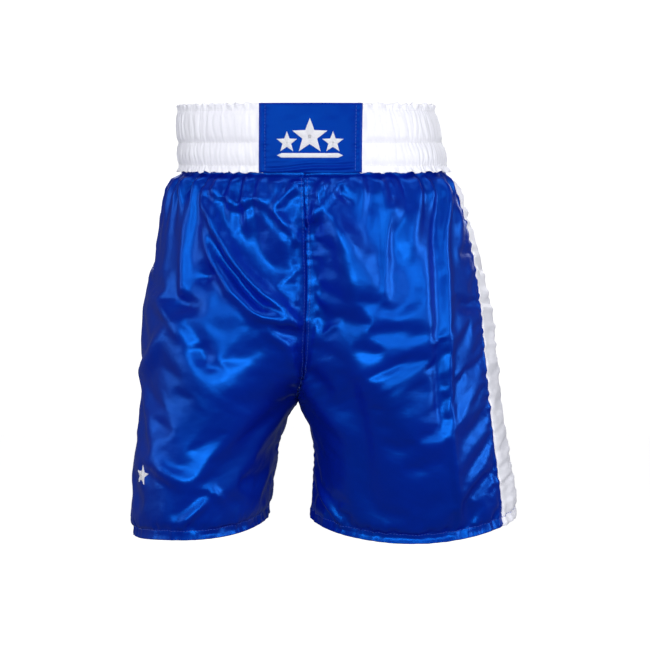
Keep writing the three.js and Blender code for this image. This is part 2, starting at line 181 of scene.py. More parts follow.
# ==== The trunk: front panels, back panels and side stripes ====
# Polyester satin, cut as four wide leg panels with a contrast stripe let into each side seam,
# gathered into the waistband and left loose. Sizes are millimetres; "drop" is below the band's
# top edge, "turn" goes round one leg from its outermost line, a quarter turn being the front.
seam_drop, crotch_drop, hem_drop, hem_height = 76.3, 340.0, 501.0, 12.5
seam_half_width, seam_half_depth, seam_centre = 156.0, 109.0, 9.0
RIGHT, LEFT = -1, 1
ease = {
    RIGHT: {"at": (0, .09, .35, .62, 1, 1.5, 2), "out": (2, 14, 29, 43, 46, 54, 57),
            "front": (1, 9, 17, 18, 16, 19, 19), "back": (1, 10, 21, 27, 18, 13, 9)},
    LEFT: {"at": (0, .09, .35, .62, 1, 1.5, 2), "out": (2, 15, 35, 52, 64, 75, 85),
           "front": (1, 9, 17, 18, 5, -9, -27), "back": (1, 10, 21, 27, 9, -5, -17)},
}
centre_seam = {"at": (0, .5, .85, 1, 2), "x": (2, 5, -2, -16, -16)}
between_legs = {
    RIGHT: {"at": (1, 1.08, 1.22, 1.4, 1.65, 2), "gap": (0, 10, 19.5, 26, 31, 36)},
    LEFT: {"at": (1, 1.08, 1.22, 1.5, 1.7, 2), "gap": (0, 5, 13, 17.5, 17, 11)},
}
hem_lift = {RIGHT: {"outer": 0, "front": 18, "inner": 17, "back": 4},
            LEFT: {"outer": 22, "front": 7, "inner": 18, "back": 6}}
stripe_turn = {
    RIGHT: {"at": (0, 1, 2), "front": (-2, -4, -4), "back": (-22, -37, -37)},
    LEFT: {"at": (0, .09, .35, .8, 1.3, 2), "front": (-2, 0, 13, 25, 29, 30),
           "back": (-21, -20, -16, -11, -10, -14)},
}


def eased(value, start, end):
    share = np.clip((value - start) / (end - start), 0, 1)
    return share * share * (3 - 2 * share)


def along(stations, key, at):
    """A smooth curve through stations that doesn't overshoot and is flat at its ends."""
    places, values = np.array(stations["at"], float), np.array(stations[key], float)
    rates, slopes = np.diff(values) / np.diff(places), np.zeros(len(places))
    for i in range(1, len(places) - 1):
        before, after = rates[i - 1], rates[i]
        slopes[i] = 0 if before * after <= 0 else 2 * before * after / (before + after)
    at = np.clip(at, places[0], places[-1])
    i = np.clip(np.searchsorted(places, at, side="right") - 1, 0, len(places) - 2)
    span = places[i + 1] - places[i]
    u = (at - places[i]) / span
    return (values[i] + (values[i + 1] - values[i]) * u * u * (3 - 2 * u)
            + span * (slopes[i] * u * (1 - u) ** 2 - slopes[i + 1] * u * u * (1 - u)))


def level(drop):
    return np.where(drop <= crotch_drop, (drop - seam_drop) / (crotch_drop - seam_drop),
                    1 + (drop - crotch_drop) / (hem_drop - crotch_drop))


def leg_outline(side, drop):
    at = level(drop)
    front = seam_half_depth + along(ease[side], "front", at)
    back = seam_half_depth + along(ease[side], "back", at)
    middle = seam_centre + along(centre_seam, "x", at)
    apart = np.clip(at, 0, 1) ** 2
    inner = along(between_legs[side], "gap", at)
    reach = seam_half_width + side * (seam_centre - middle) + along(ease[side], "out", at) - inner
    half_width = reach / (1 + apart)
    return (middle, apart, inner + half_width * apart, half_width,
            (front + back) / 2, (back - front) / 2)


def seam_turn(side, drop):
    _, _, centre, half_width, _, _ = leg_outline(side, drop)
    cut = np.where(drop < crotch_drop, -centre / half_width, -1)
    return np.arccos(np.clip(cut, -1, 1))


def on_trunk(side, drop, turn):
    """Points of the trunk's smooth shape, before gathers and folds."""
    middle, apart, centre, half_width, half_depth, shift = leg_outline(side, drop)
    from_middle = centre + half_width * np.cos(turn)
    y = shift - half_depth * np.sin(turn)
    _, _, _, _, other_depth, other_shift = leg_outline(-side, drop)
    edge = np.sqrt(np.maximum(0, 1 - apart ** 2)) * np.sign(turn)
    meet = (other_shift - other_depth * edge - (shift - half_depth * edge)) / 2
    y = y + np.where(apart < 1, meet * (1 - eased(from_middle, 0, 70)), 0)
    lift = hem_lift[side]
    across = np.where(np.cos(turn) > 0, lift["outer"], lift["inner"])
    fore = np.where(np.sin(turn) > 0, lift["front"], lift["back"])
    share = eased(level(drop), 1, float(level(np.array(hem_drop - hem_height))))
    lift = share * (across * np.cos(turn) ** 2 + fore * np.sin(turn) ** 2)
    return np.stack([middle + side * from_middle, y, lift - drop], -1)


# Cloth grid: columns run from the centre seam round to the centre back, rows down to the hem.
# Above the crotch the rows bend so that they also divide the seam's curve evenly.
front_columns, stripe_columns, back_columns = 50, 8, 52
rise_rows, leg_rows = 56, 30
stripe_start, stripe_end = front_columns, front_columns + stripe_columns
last_column = stripe_end + back_columns
last_row = rise_rows + leg_rows

down_the_seam = seam_drop + (crotch_drop - seam_drop) * (1 - (1 - np.linspace(0, 1, 4001)) ** 3)
seam_path = np.stack([
    seam_half_depth * np.sqrt(np.maximum(0, 1 - level(down_the_seam) ** 4)), down_the_seam], -1)
seam_length = np.concatenate([[0], np.cumsum(np.linalg.norm(np.diff(seam_path, axis=0), axis=1))])
seam_rows = np.interp(np.linspace(0, seam_length[-1], rise_rows + 1), seam_length, down_the_seam)
plain_rows = np.linspace(seam_drop, crotch_drop, rise_rows + 1)
leg_drops = np.linspace(crotch_drop, hem_drop, leg_rows + 1)[1:]


def cloth_grid(side):
    column = np.arange(last_column + 1)
    to_front = np.clip(column / stripe_start, 0, 1)
    to_back = np.clip((last_column - column) / back_columns, 0, 1)
    to_seam = np.maximum(1 - to_front, 1 - to_back) ** 2
    drop = np.empty((last_row + 1, last_column + 1))
    drop[:rise_rows + 1] = plain_rows[:, None] + (seam_rows - plain_rows)[:, None] * to_seam
    drop[rise_rows + 1:] = leg_drops[:, None]
    seam = seam_turn(side, drop)
    front = np.radians(along(stripe_turn[side], "front", level(drop)))
    back = np.radians(along(stripe_turn[side], "back", level(drop)))
    over_stripe = np.clip((column - stripe_start) / stripe_columns, 0, 1)
    turn = np.where(column <= stripe_start, seam + (front - seam) * to_front,
                    np.where(column <= stripe_end, front + (back - front) * over_stripe,
                             -seam + (back + seam) * to_back))
    return on_trunk(side, drop, turn), drop


def joined(rows, columns, crotch_row):
    """Numbers for the points of both sides' grids, the same number where they are sewn together."""
    count, numbers = 0, {}
    for side in (RIGHT, LEFT):
        own = np.arange(rows * columns).reshape(rows, columns) + count
        count += rows * columns
        if side == LEFT:
            own[:crotch_row + 1, 0] = numbers[RIGHT][:crotch_row + 1, 0]
            own[:crotch_row + 1, -1] = numbers[RIGHT][:crotch_row + 1, -1]
        own[crotch_row:, -1] = own[crotch_row:, 0]
        numbers[side] = own
    numbers[RIGHT][crotch_row, [0, -1]] = numbers[RIGHT][crotch_row, 0]
    numbers[LEFT][crotch_row, [0, -1]] = numbers[RIGHT][crotch_row, 0]
    return numbers


def cells(numbers):
    """Quads of a grid of point numbers."""
    return np.stack([numbers[:-1, :-1], numbers[1:, :-1], numbers[1:, 1:], numbers[:-1, 1:]],
                    -1).reshape(-1, 4)


def sewn(grids, crotch_row):
    """One list of points and one of faces for both sides, each seam's points shared."""
    rows, columns = grids[RIGHT].shape[:2]
    numbers = joined(rows, columns, crotch_row)
    total = np.zeros((2 * rows * columns, 3))
    hits = np.zeros(len(total))
    for side in (RIGHT, LEFT):
        np.add.at(total, numbers[side].ravel(), grids[side].reshape(-1, 3))
        np.add.at(hits, numbers[side].ravel(), 1)
    used = np.flatnonzero(hits)
    renumber = np.full(len(total), -1)
    renumber[used] = np.arange(len(used))
    points = total[used] / hits[used, None]
    numbers = {side: renumber[numbers[side]] for side in numbers}
    faces = np.concatenate([cells(numbers[RIGHT]), cells(numbers[LEFT])[:, ::-1]])
    return points, faces, numbers


def outward(points, faces):
    corners = points[faces]
    facing = np.cross(corners[:, 2] - corners[:, 0], corners[:, 3] - corners[:, 1])
    normal = np.zeros_like(points)
    for i in range(4):
        np.add.at(normal, faces[:, i], facing)
    return normal / np.maximum(np.linalg.norm(normal, axis=1, keepdims=True), 1e-9)


trunk, trunk_drop = {}, {}
for side in (RIGHT, LEFT):
    trunk[side], trunk_drop[side] = cloth_grid(side)
    # the cloth runs smoothly past the level of the crotch, apart from right beside it
    near_rows = 1 - eased(abs(np.arange(last_row + 1) - rise_rows), 4, 11)
    near_columns = eased(np.minimum(np.arange(last_column + 1),
                                    last_column - np.arange(last_column + 1)), 2, 12)
    soften = 0.5 * (near_rows[:, None] * near_columns)[1:-1, :, None]
    for _ in range(40):
        grid = trunk[side]
        trunk[side][1:-1] += soften * ((grid[:-2] + grid[2:]) / 2 - grid[1:-1])
trunk_points, trunk_faces, trunk_numbers = sewn(trunk, rise_rows)
trunk_normals = outward(trunk_points, trunk_faces)
if trunk_normals[trunk_numbers[RIGHT][5, stripe_start]][0] > 0:
    trunk_faces, trunk_normals = trunk_faces[:, ::-1], -trunk_normals

# Folds of the worn cloth: each is a line of (x, drop) with its half width and its height.
front_folds = [
    ([(-106, 104), (-88, 134), (-72, 161), (-52, 187), (-30, 207), (-10, 223), (6, 242)], 7, 6),
    ([(-101, 140), (-88, 172), (-69, 204), (-40, 228), (-20, 234), (6, 241)], 7, 4.5),
    ([(-92, 150), (-79, 174), (-64, 188), (-47, 210), (-32, 225)], 5, -5),
    ([(-62, 132), (-38, 162), (-12, 195)], 24, -9),
    ([(-109, 94), (-90, 96), (-65, 110), (-48, 104), (-28, 106)], 4.5, 3),
    ([(7, 82), (-23, 115), (-19, 122), (-3, 137), (6, 153)], 4.5, 3),
    ([(-133, 80), (-128, 107), (-127, 152), (-126, 218)], 6, 3.5),
    ([(-149, 253), (-170, 289), (-188, 309)], 8, 3.5),
    ([(-101, 182), (-97, 194)], 9, -5),
    ([(-134, 214), (-118, 222)], 9, -5),
    ([(-106, 262), (-96, 284)], 11, -4.5),
    ([(-46, 226), (-10, 234)], 6, 3),
    ([(-28, 247), (-10, 263), (-2, 294)], 6, 3.5),
    ([(-149, 242), (-100, 300), (-53, 364)], 34, 4),
    ([(-157, 221), (-116, 261)], 9, 3),
    ([(-126, 465), (-101, 439)], 5, 3.5),
    ([(-93, 425), (-85, 437)], 4.5, 2.5),
    ([(-161, 400), (-116, 418)], 10, 3),
    ([(45, 125), (72, 170), (90, 215)], 17, 5),
    ([(14, 118), (20, 170), (26, 213), (30, 262)], 21, -9),
    ([(44, 120), (56, 170), (66, 215)], 13, 4.5),
    ([(30, 253), (47, 241)], 4.5, 2.5),
    ([(33, 82), (17, 133)], 5, 4),
    ([(54, 82), (19, 130)], 4.5, 3),
    ([(105, 82), (108, 106)], 6, -5),
    ([(47, 92), (61, 104)], 5, -4),
    ([(98, 84), (101, 150), (100, 214)], 3.5, 2),
    ([(165, 96), (163, 136), (166, 201), (170, 286), (173, 362), (185, 471)], 5, 3),
    ([(152, 110), (153, 201), (158, 286), (161, 362)], 6, -2.5),
    ([(167, 77), (188, 126)], 5, -4),
    ([(180, 218), (197, 226)], 7, -3),
    ([(104, 128), (112, 168)], 10, -2.5),
    ([(122, 168), (130, 208)], 10, -2),
    ([(110, 100), (135, 170), (150, 249)], 22, 4),
    ([(96, 292), (139, 367)], 28, 4),
    ([(21, 443), (45, 473)], 5, 3.5),
    ([(60, 300), (75, 380), (80, 450)], 12, -3),
    ([(0, 300), (30, 340), (60, 365)], 12, 3),
]
back_folds = [
    ([(-120, 100), (-85, 150), (-50, 205), (-12, 250)], 8, 6),
    ([(-128, 140), (-96, 190), (-55, 240), (-15, 275)], 8, 5),
    ([(-124, 120), (-92, 170), (-52, 222), (-15, 262)], 6, -5),
    ([(125, 95), (98, 145), (60, 200), (12, 248)], 8, 6),
    ([(150, 150), (115, 205), (70, 250), (10, 280)], 9, 5),
    ([(138, 125), (105, 175), (65, 225), (12, 264)], 6, -5),
    ([(-60, 90), (-52, 140), (-30, 190)], 7, 4),
    ([(-98, 330), (-70, 368), (-22, 384)], 13, 3.5),
    ([(128, 270), (96, 300), (40, 352)], 11, -4),
    ([(-152, 250), (-120, 282), (-70, 290)], 12, -4),
    ([(90, 400), (110, 430), (150, 440)], 10, 3),
    ([(-40, 300), (-56, 350), (-50, 420)], 9, 3),
    ([(62, 90), (56, 140), (34, 190)], 7, 4),
    ([(-20, 85), (-16, 130)], 6, 3), ([(28, 85), (26, 140)], 6, 3),
    ([(-150, 300), (-110, 315), (-60, 312)], 9, 4),
    ([(165, 300), (120, 322), (60, 318)], 9, 4),
    ([(-140, 335), (-95, 350), (-50, 345)], 9, -4),
    ([(150, 340), (110, 352), (50, 350)], 9, -4),
    ([(-130, 380), (-115, 440), (-110, 490)], 12, 4),
    ([(120, 380), (125, 440), (132, 490)], 12, 4),
    ([(-60, 390), (-62, 450)], 10, -3), ([(75, 400), (78, 460)], 10, -3),
    ([(-165, 180), (-160, 240), (-168, 300)], 8, 4),
    ([(180, 180), (178, 240), (190, 300)], 8, 4),
]


def fold_height(line, half_width, height, x, drop):
    """Height of one fold at points, fading at the ends of its line."""
    line = np.array(line, float)
    lengths = np.linalg.norm(np.diff(line, axis=0), axis=1)
    start = np.concatenate([[0], np.cumsum(lengths)])
    nearest = np.full(x.shape, 1e9)
    place = np.zeros(x.shape)
    for a, b, length, begun in zip(line[:-1], line[1:], lengths, start):
        u = ((x - a[0]) * (b[0] - a[0]) + (drop - a[1]) * (b[1] - a[1])) / length ** 2
        u = np.clip(u, 0, 1)
        away = np.hypot(x - a[0] - u * (b[0] - a[0]), drop - a[1] - u * (b[1] - a[1]))
        closer = away < nearest
        nearest = np.where(closer, away, nearest)
        place = np.where(closer, begun + u * length, place)
    whole = start[-1]
    fade = np.minimum(0.35 * whole, 25)
    ends = eased(place, -fade, fade) * eased(whole - place, -fade, fade)
    return height * ends * np.exp(-(nearest / half_width) ** 2)


waves_seed = np.random.default_rng(7)


def waves(place, shortest, longest, count=14):
    """An irregular wave along a line, about one high, with wavelengths between these."""
    total = np.zeros(np.shape(place))
    for _ in range(count):
        wavelength = shortest * (longest / shortest) ** waves_seed.random()
        total = total + np.sin(2 * math.pi * (place / wavelength + waves_seed.random()))
    return total / math.sqrt(count / 2)


x, drop = trunk_points[:, 0], -trunk_points[:, 2]
faces_front = eased(-trunk_normals[:, 1], -0.05, 0.3)
faces_back = eased(trunk_normals[:, 1], -0.05, 0.3)
fold_sum = np.zeros(len(trunk_points))
for line, half_width, height in front_folds:
    fold_sum += faces_front * fold_height(line, half_width, height, x, drop)
for line, half_width, height in back_folds:
    fold_sum += faces_back * fold_height(line, half_width, height, x, drop)
fold_sum *= 1.55 * eased(drop, seam_drop, seam_drop + 14)
trunk_points = trunk_points + trunk_normals * fold_sum[:, None]

# The cloth is a little larger than the shape that it hangs on, and its seams draw it in, so it
# buckles into its own small wrinkles.
cloth_frames = 26
loose = bpy.data.meshes.new("loose_cloth")
loose.from_pydata((trunk_points * MM).tolist(), [], trunk_faces.tolist())
loose_piece = bpy.data.objects.new("loose_cloth", loose)
bpy.context.scene.collection.objects.link(loose_piece)
held = loose_piece.vertex_groups.new(name="held")
drawn_in = loose_piece.vertex_groups.new(name="drawn_in")
seam_columns = (0, stripe_start, stripe_end, last_column)
hold, draw = np.full(len(trunk_points), 0.18), np.zeros(len(trunk_points))
for side in (RIGHT, LEFT):
    numbers = trunk_numbers[side]
    hold[numbers[0]] = 1
    hold[numbers[1]] = 0.8
    hold[numbers[-1]] = 0.45
    for column in seam_columns:
        hold[numbers[1:, column]] = np.maximum(hold[numbers[1:, column]], 0.45)
        for near, share in ((0, 1), (1, 0.6), (-1, 0.6)):
            if 0 <= column + near <= last_column:
                draw[numbers[:, column + near]] = np.maximum(
                    draw[numbers[:, column + near]], share)
    draw[numbers[-3:]] = 1
for group, weights in ((held, hold), (drawn_in, draw)):
    for value in np.unique(weights):
        if value > 0:
            group.add(np.flatnonzero(weights == value).tolist(), float(value), "REPLACE")
cloth = loose_piece.modifiers.new("cloth", "CLOTH")
settings = cloth.settings
settings.quality = 5
settings.mass = 0.12
settings.air_damping = 4
settings.tension_stiffness = settings.compression_stiffness = 25
settings.shear_stiffness = 8
settings.bending_stiffness = 12
settings.tension_damping = settings.compression_damping = settings.shear_damping = 8
settings.vertex_group_mass = "held"
settings.pin_stiffness = 1.2
settings.shrink_min = -0.013
settings.shrink_max = 0.03
settings.vertex_group_shrink = "drawn_in"
settings.effector_weights.gravity = 0.6
cloth.collision_settings.use_collision = False
cloth.point_cache.frame_start, cloth.point_cache.frame_end = 1, cloth_frames
for tick in range(1, cloth_frames + 1):
    bpy.context.scene.frame_set(tick)
settled = loose_piece.evaluated_get(bpy.context.evaluated_depsgraph_get())
flat_list = np.empty(len(trunk_points) * 3)
settled.data.vertices.foreach_get("co", flat_list)
moved = flat_list.reshape(-1, 3) / MM - trunk_points
farthest = 9.0
reach = np.linalg.norm(moved, axis=1, keepdims=True)
moved *= np.minimum(1, farthest / np.maximum(reach, 1e-6))
trunk_points = trunk_points + moved
bpy.data.objects.remove(loose_piece)
bpy.context.scene.frame_set(1)

folded = {side: trunk_points[trunk_numbers[side]] for side in trunk_numbers}


def through(values, places, axis):
    """A smooth curve through evenly numbered values, read at these places along one axis."""
    values = np.moveaxis(values, axis, 0)
    places = np.clip(places, 0, len(values) - 1)
    i = np.minimum(places.astype(int), len(values) - 2)
    u = (places - i).reshape((-1,) + (1,) * (values.ndim - 1))
    a, b = values[np.maximum(i - 1, 0)], values[i]
    c, d = values[i + 1], values[np.minimum(i + 2, len(values) - 1)]
    found = b + 0.5 * u * (c - a + u * (2 * a - 5 * b + 4 * c - d + u * (3 * (b - c) + d - a)))
    return np.moveaxis(found, 0, axis)


def crowded(start, end, count, ends=0.55):
    """Places between two columns, closer together by the seams at both ends."""
    u = np.linspace(0, 1, count + 1)
    return start + (end - start) * (u - ends * np.sin(2 * math.pi * u) / (2 * math.pi))


fine_front, fine_stripe, fine_back = 132, 30, 134
fine_columns = np.concatenate([
    crowded(0, stripe_start, fine_front),
    crowded(stripe_start, stripe_end, fine_stripe)[1:],
    crowded(stripe_end, last_column, fine_back)[1:]])
leg_row_height = (hem_drop - crotch_drop) / leg_rows
hem_rows_from = last_row - 17 / leg_row_height
fine_rows = np.concatenate([
    np.linspace(0, 3, 9)[:-1], np.linspace(3, rise_rows, 92)[:-1],
    np.linspace(rise_rows, hem_rows_from, 54)[:-1], np.linspace(hem_rows_from, last_row, 19)])
fine_crotch = int(np.argmin(abs(fine_rows - rise_rows)))
fine_starts = (0, fine_front, fine_front + fine_stripe, fine_front + fine_stripe + fine_back)

fine = {side: through(through(folded[side], fine_rows, 0), fine_columns, 1) for side in folded}
fine_drop = {side: through(through(trunk_drop[side], fine_rows, 0), fine_columns, 1)
             for side in folded}
fine_points, fine_faces, fine_numbers = sewn(fine, fine_crotch)
fine_normals = outward(fine_points, fine_faces)
if fine_normals[fine_numbers[RIGHT][5, fine_front]][0] > 0:
    fine_faces, fine_normals = fine_faces[:, ::-1], -fine_normals

# Close to the sewing: gathers under the band, puckers along each seam and hem, and the groove
# that each seam pulls in.
fine_detail = np.zeros(len(fine_points))
across_mm, down_mm = {}, {}
for side in (RIGHT, LEFT):
    grid = fine_points[fine_numbers[side]]
    steps = np.linalg.norm(np.diff(grid, axis=1), axis=2)
    across = np.concatenate([np.zeros((len(grid), 1)), np.cumsum(steps, axis=1)], axis=1)
    falls = np.linalg.norm(np.diff(grid, axis=0), axis=2)
    down = np.concatenate([np.zeros((1, grid.shape[1])), np.cumsum(falls, axis=0)], axis=0)
    across_mm[side], down_mm[side] = across, down
    drop = fine_drop[side]
    height = np.zeros(drop.shape)
    # gathers
    beside_badge = 1 - 0.75 * (eased(grid[..., 0], -62, -34) * (1 - eased(grid[..., 0], 66, 96))
                               * (grid[..., 1] < 0))
    top_across = across[0][None, :]
    fall = np.maximum(0, drop - seam_drop)
    tight = waves(top_across, 7, 15) * np.exp(-(fall / 20) ** 1.3)
    wide = waves(top_across + 0.12 * fall, 16, 38) * np.exp(-(fall / 55) ** 2)
    height += (beside_badge * (0.85 * tight + 3.1 * wide)
               * eased(drop, seam_drop - 1, seam_drop + 12))
    # seams
    for number, start in enumerate(fine_starts):
        away = abs(across - across[:, start:start + 1])
        along_seam = down[:, start:start + 1]
        centre = number in (0, 3)
        reach = 13 if centre else 9
        ripple = waves(along_seam, 7, 15) * np.exp(-away / reach) + \
            0.7 * waves(along_seam, 14, 30) * np.exp(-away / (2.2 * reach))
        strength = (0.62 if centre else 0.55) * np.where(drop > crotch_drop, 0.6, 1)
        if centre:
            strength = strength * (1 - 0.75 * eased(drop, 130, 190) * (1 - eased(drop, 255, 285)))
        height += strength * ripple
        height -= 0.8 * np.exp(-(away / 1.3) ** 2)
        if centre:
            height -= np.where(drop < crotch_drop, 0.35, 0) * np.exp(-((away - 3.2) / 1.0) ** 2)
    # hem
    above_hem = down[-1:] - down
    ripple = waves(across[-1][None, :], 7, 16) + 0.8 * waves(across[-1][None, :], 16, 34)
    height += 0.55 * ripple * np.exp(-((above_hem - 9) / 13) ** 2)
    height += 0.5 * (1 - eased(above_hem, 10.8, 12.6))
    height -= 0.5 * np.exp(-((above_hem - 10.5) / 1.1) ** 2)
    # stripes buckle across, and nowhere is satin quite even
    on_stripe = np.zeros(len(fine_columns))
    on_stripe[fine_starts[1]:fine_starts[2] + 1] = np.sin(
        np.linspace(0, math.pi, fine_starts[2] - fine_starts[1] + 1)) ** 0.5
    middle_column = (fine_starts[1] + fine_starts[2]) // 2
    height += 0.6 * on_stripe * waves(down[:, middle_column:middle_column + 1]
                                      + 3 * np.sin(across / 17), 9, 26)
    for _ in range(26):
        direction, wavelength = waves_seed.uniform(0, math.pi), waves_seed.uniform(9, 42)
        height += 0.0055 * wavelength * 0.35 * np.sin(2 * math.pi * (
            across * math.cos(direction) + down * math.sin(direction)) / wavelength
            + waves_seed.uniform(0, 6.28) + (0 if side == LEFT else 2)) * eased(
                np.minimum(across, across[:, -1:] - across), 0, 12)
    # under the band
    height -= 5.0 * np.exp(-((drop - seam_drop) / 5.5) ** 2)
    fine_detail[fine_numbers[side]] = height
fine_points = fine_points + fine_normals * fine_detail[:, None]
fine_normals = outward(fine_points, fine_faces)


def wall(one, other):
    """Faces between two edges of the same number of points."""
    return np.stack([one[:-1], one[1:], other[1:], other[:-1]], -1)


def two_sided(outer, inner, lowest_edge):
    """Points and faces of a closed sheet between an outer and an inner grid of points."""
    rows, columns = outer.shape[:2]
    points = np.concatenate([outer.reshape(-1, 3), inner.reshape(-1, 3)])
    a = np.arange(rows * columns).reshape(rows, columns)
    b = a + rows * columns
    faces = [cells(a), cells(b)[:, ::-1]]
    rim = [(a[0], b[0]), (b[-1], a[-1]), (b[:, 0], a[:, 0]), (a[:, -1], b[:, -1])]
    if lowest_edge is not None:
        c = np.arange(columns) + 2 * rows * columns
        points = np.concatenate([points, lowest_edge])
        rim[1:2] = [(c, a[-1]), (b[-1], c)]
        rim_sides = [(b[-1, 0], c[0], a[-1, 0]), (a[-1, -1], c[-1], b[-1, -1])]
    else:
        rim_sides = []
    faces += [wall(one, other) for one, other in rim]
    return points, [tuple(f) for f in np.concatenate(faces).tolist()] + [
        tuple(int(i) for i in f) for f in rim_sides]


def turned_out(piece):
    """Turns a closed piece's faces so that they point out of it."""
    mesh = piece.data
    corners = np.empty(len(mesh.vertices) * 3)
    mesh.vertices.foreach_get("co", corners)
    corners = corners.reshape(-1, 3)
    mesh.calc_loop_triangles()
    triangles = np.empty(len(mesh.loop_triangles) * 3, int)
    mesh.loop_triangles.foreach_get("vertices", triangles)
    a, b, c = corners[triangles.reshape(-1, 3)].transpose(1, 0, 2)
    if (a * np.cross(b, c)).sum() < 0:
        mesh.flip_normals()
    return piece


def sewn_on(piece, node, body="shorts"):
    """The piece moves with its body and stands in for its frame node, which it hides."""
    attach(piece, body)
    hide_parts(node)


def lay_cloth(mesh, across, down):
    """A flat map of the cloth in metres, so that the weave follows the grain of the piece."""
    layer = mesh.uv_layers.new(name="cloth")
    corner_points = np.empty(len(mesh.loops), int)
    mesh.loops.foreach_get("vertex_index", corner_points)
    flat = np.stack([across, down], -1)[corner_points] * MM
    layer.data.foreach_set("uv", flat.ravel())


def satin(name, colour, deep_colour, roughness, bump, gloss_index, gloss_tint):
    """Satin weave: long floats down the grain that catch the light, fine slubs and a soft sheen."""
    material, tree, shader = new_material(name, roughness=roughness, anisotropic=0.45,
                                          ior=gloss_index, specular_tint=(*gloss_tint, 1))
    flat = finish_node(tree, "UVMap", {}, uv_map="cloth").outputs["UV"]

    def noise_at(scale, size, detail=3.0):
        place = finish_node(tree, "Mapping", {"Vector": flat, "Scale": scale})
        return finish_node(tree, "TexNoise", {
            "Vector": place.outputs["Vector"], "Scale": size, "Detail": detail}).outputs["Fac"]

    floats = noise_at((1, 0.06, 1), 2600, 2)
    slubs = noise_at((0.35, 1, 1), 260)
    cloudy = noise_at((1, 1, 1), 14)
    mixed = finish_node(tree, "Math", {0: floats, 1: cloudy}, operation="ADD")
    half = finish_node(tree, "Math", {0: mixed.outputs[0], 1: 0.5}, operation="MULTIPLY")
    blend = finish_node(tree, "MapRange", {
        "Value": half.outputs[0], "From Min": 0.3, "From Max": 0.62})
    tone = finish_node(tree, "Mix", {"A": (*deep_colour, 1), "B": (*colour, 1),
                                     "Factor": blend.outputs["Result"]}, data_type="RGBA")
    gloss = finish_node(tree, "MapRange", {
        "Value": slubs, "To Min": roughness - 0.05, "To Max": roughness + 0.07})
    fine_bump = finish_node(tree, "Bump", {"Strength": bump, "Distance": 0.00012, "Height": floats})
    slub_bump = finish_node(tree, "Bump", {"Strength": bump, "Distance": 0.0003, "Height": slubs,
                                           "Normal": fine_bump.outputs["Normal"]})
    join(tree, shader, {"Base Color": tone.outputs["Result"], "Roughness": gloss.outputs["Result"],
                        "Normal": slub_bump.outputs["Normal"]})
    return material


blue_satin = satin("blue_satin", (0.001, 0.009, 0.275), (0.0006, 0.006, 0.205), 0.345, 0.4,
                   2.6, (0.007, 0.23, 1.0))
white_satin = satin("white_satin", (0.885, 0.885, 0.95), (0.82, 0.82, 0.90), 0.42, 0.35,
                    1.5, (1.0, 1.0, 1.0))

cloth_thickness = 0.5
hem_thickness = 1.9
band_half_width, band_half_depth = 148.0, 104.0  # at its top edge
wider_below, deeper_below, band_lean = 8.0, 5.0, 9.0  # what its lower edge adds, and its shift
tuck = [(4.0, 2.6), (1.6, 2.9)]  # above the seam, and how far in from the band's face


def under_band(grid_top, up, inset):
    """The top edge of the panels, tucked up between the two layers of the band."""
    u = (seam_drop - up) / seam_drop
    x = band_half_width + wider_below * u - inset
    y = band_half_depth + deeper_below * u - inset
    turn = np.arctan2((grid_top[:, 0] - band_lean * u) / x, -grid_top[:, 1] / y)
    return np.stack([x * np.sin(turn) + band_lean * u, -y * np.cos(turn),
                     np.full(len(turn), up - seam_drop)], -1)


panel_cuts = {"front_panel": (fine_starts[0], fine_starts[1]),
              "side_stripe": (fine_starts[1], fine_starts[2]),
              "back_panel": (fine_starts[2], fine_starts[3])}
side_names = {RIGHT: "right", LEFT: "left"}
for side, side_name in side_names.items():
    numbers = fine_numbers[side]
    for panel, (first, last) in panel_cuts.items():
        own = numbers[:, first:last + 1]
        outer, normal = fine_points[own], fine_normals[own]
        across, down = across_mm[side][:, first:last + 1], down_mm[side][:, first:last + 1]
        above_hem = down[-1:] - down
        in_hem = 1 - eased(above_hem, 12, 13.2)
        thick = cloth_thickness + (hem_thickness - cloth_thickness) * in_hem
        inner = outer - normal * thick[..., None]
        lowest = (outer[-1] + inner[-1]) / 2 - np.array([0, 0, 0.45])
        tucked = [(under_band(outer[0], up, inset),
                   under_band(inner[0], up, inset + cloth_thickness)) for up, inset in tuck]
        outer = np.concatenate([[t[0] for t in tucked], outer])
        inner = np.concatenate([[t[1] for t in tucked], inner])
        points, faces = two_sided(outer, inner, lowest)
        name = f"{panel}_{side_name}"
        white = panel == "side_stripe"
        piece = turned_out(put_mesh(name + "_cloth", points, faces,
                                    white_satin if white else blue_satin))
        flat_across = np.concatenate([across[:1], across[:1], across])
        flat_down = np.concatenate([down[:1] - 4, down[:1] - 2, down])
        lay_cloth(piece.data,
                  np.concatenate([flat_across.ravel(), flat_across.ravel(), flat_across[-1]]),
                  np.concatenate([flat_down.ravel(), flat_down.ravel(), flat_down[-1]]))
        sewn_on(piece, name)

# ==== The waistband casing ====
# One long strip of white satin, folded over the top of the band and gathered by three rows of
# stitching onto two widths of elastic, which leaves a frill above the first row and below the last.
band_height = 76.0
band_rows = (7.5, 42.9, 68.3)
badge_sides = (-39.5, 72.5)
casing_columns, casing_cloth = 720, 0.4
band_radius = 150.0  # about, to turn angles into lengths


def on_band(turn, drop, inset):
    u = drop / band_height
    x, y = band_half_width + wider_below * u, band_half_depth + deeper_below * u
    in_x, in_y = -y * np.sin(turn), x * np.cos(turn)
    length = np.hypot(in_x, in_y)
    return np.stack(np.broadcast_arrays(
        x * np.sin(turn) + inset * in_x / length + band_lean * u,
        -y * np.cos(turn) + inset * in_y / length, -drop), -1)


def turn_at(x, drop):
    u = drop / band_height
    return np.arcsin((x - band_lean * u) / (band_half_width + wider_below * u))


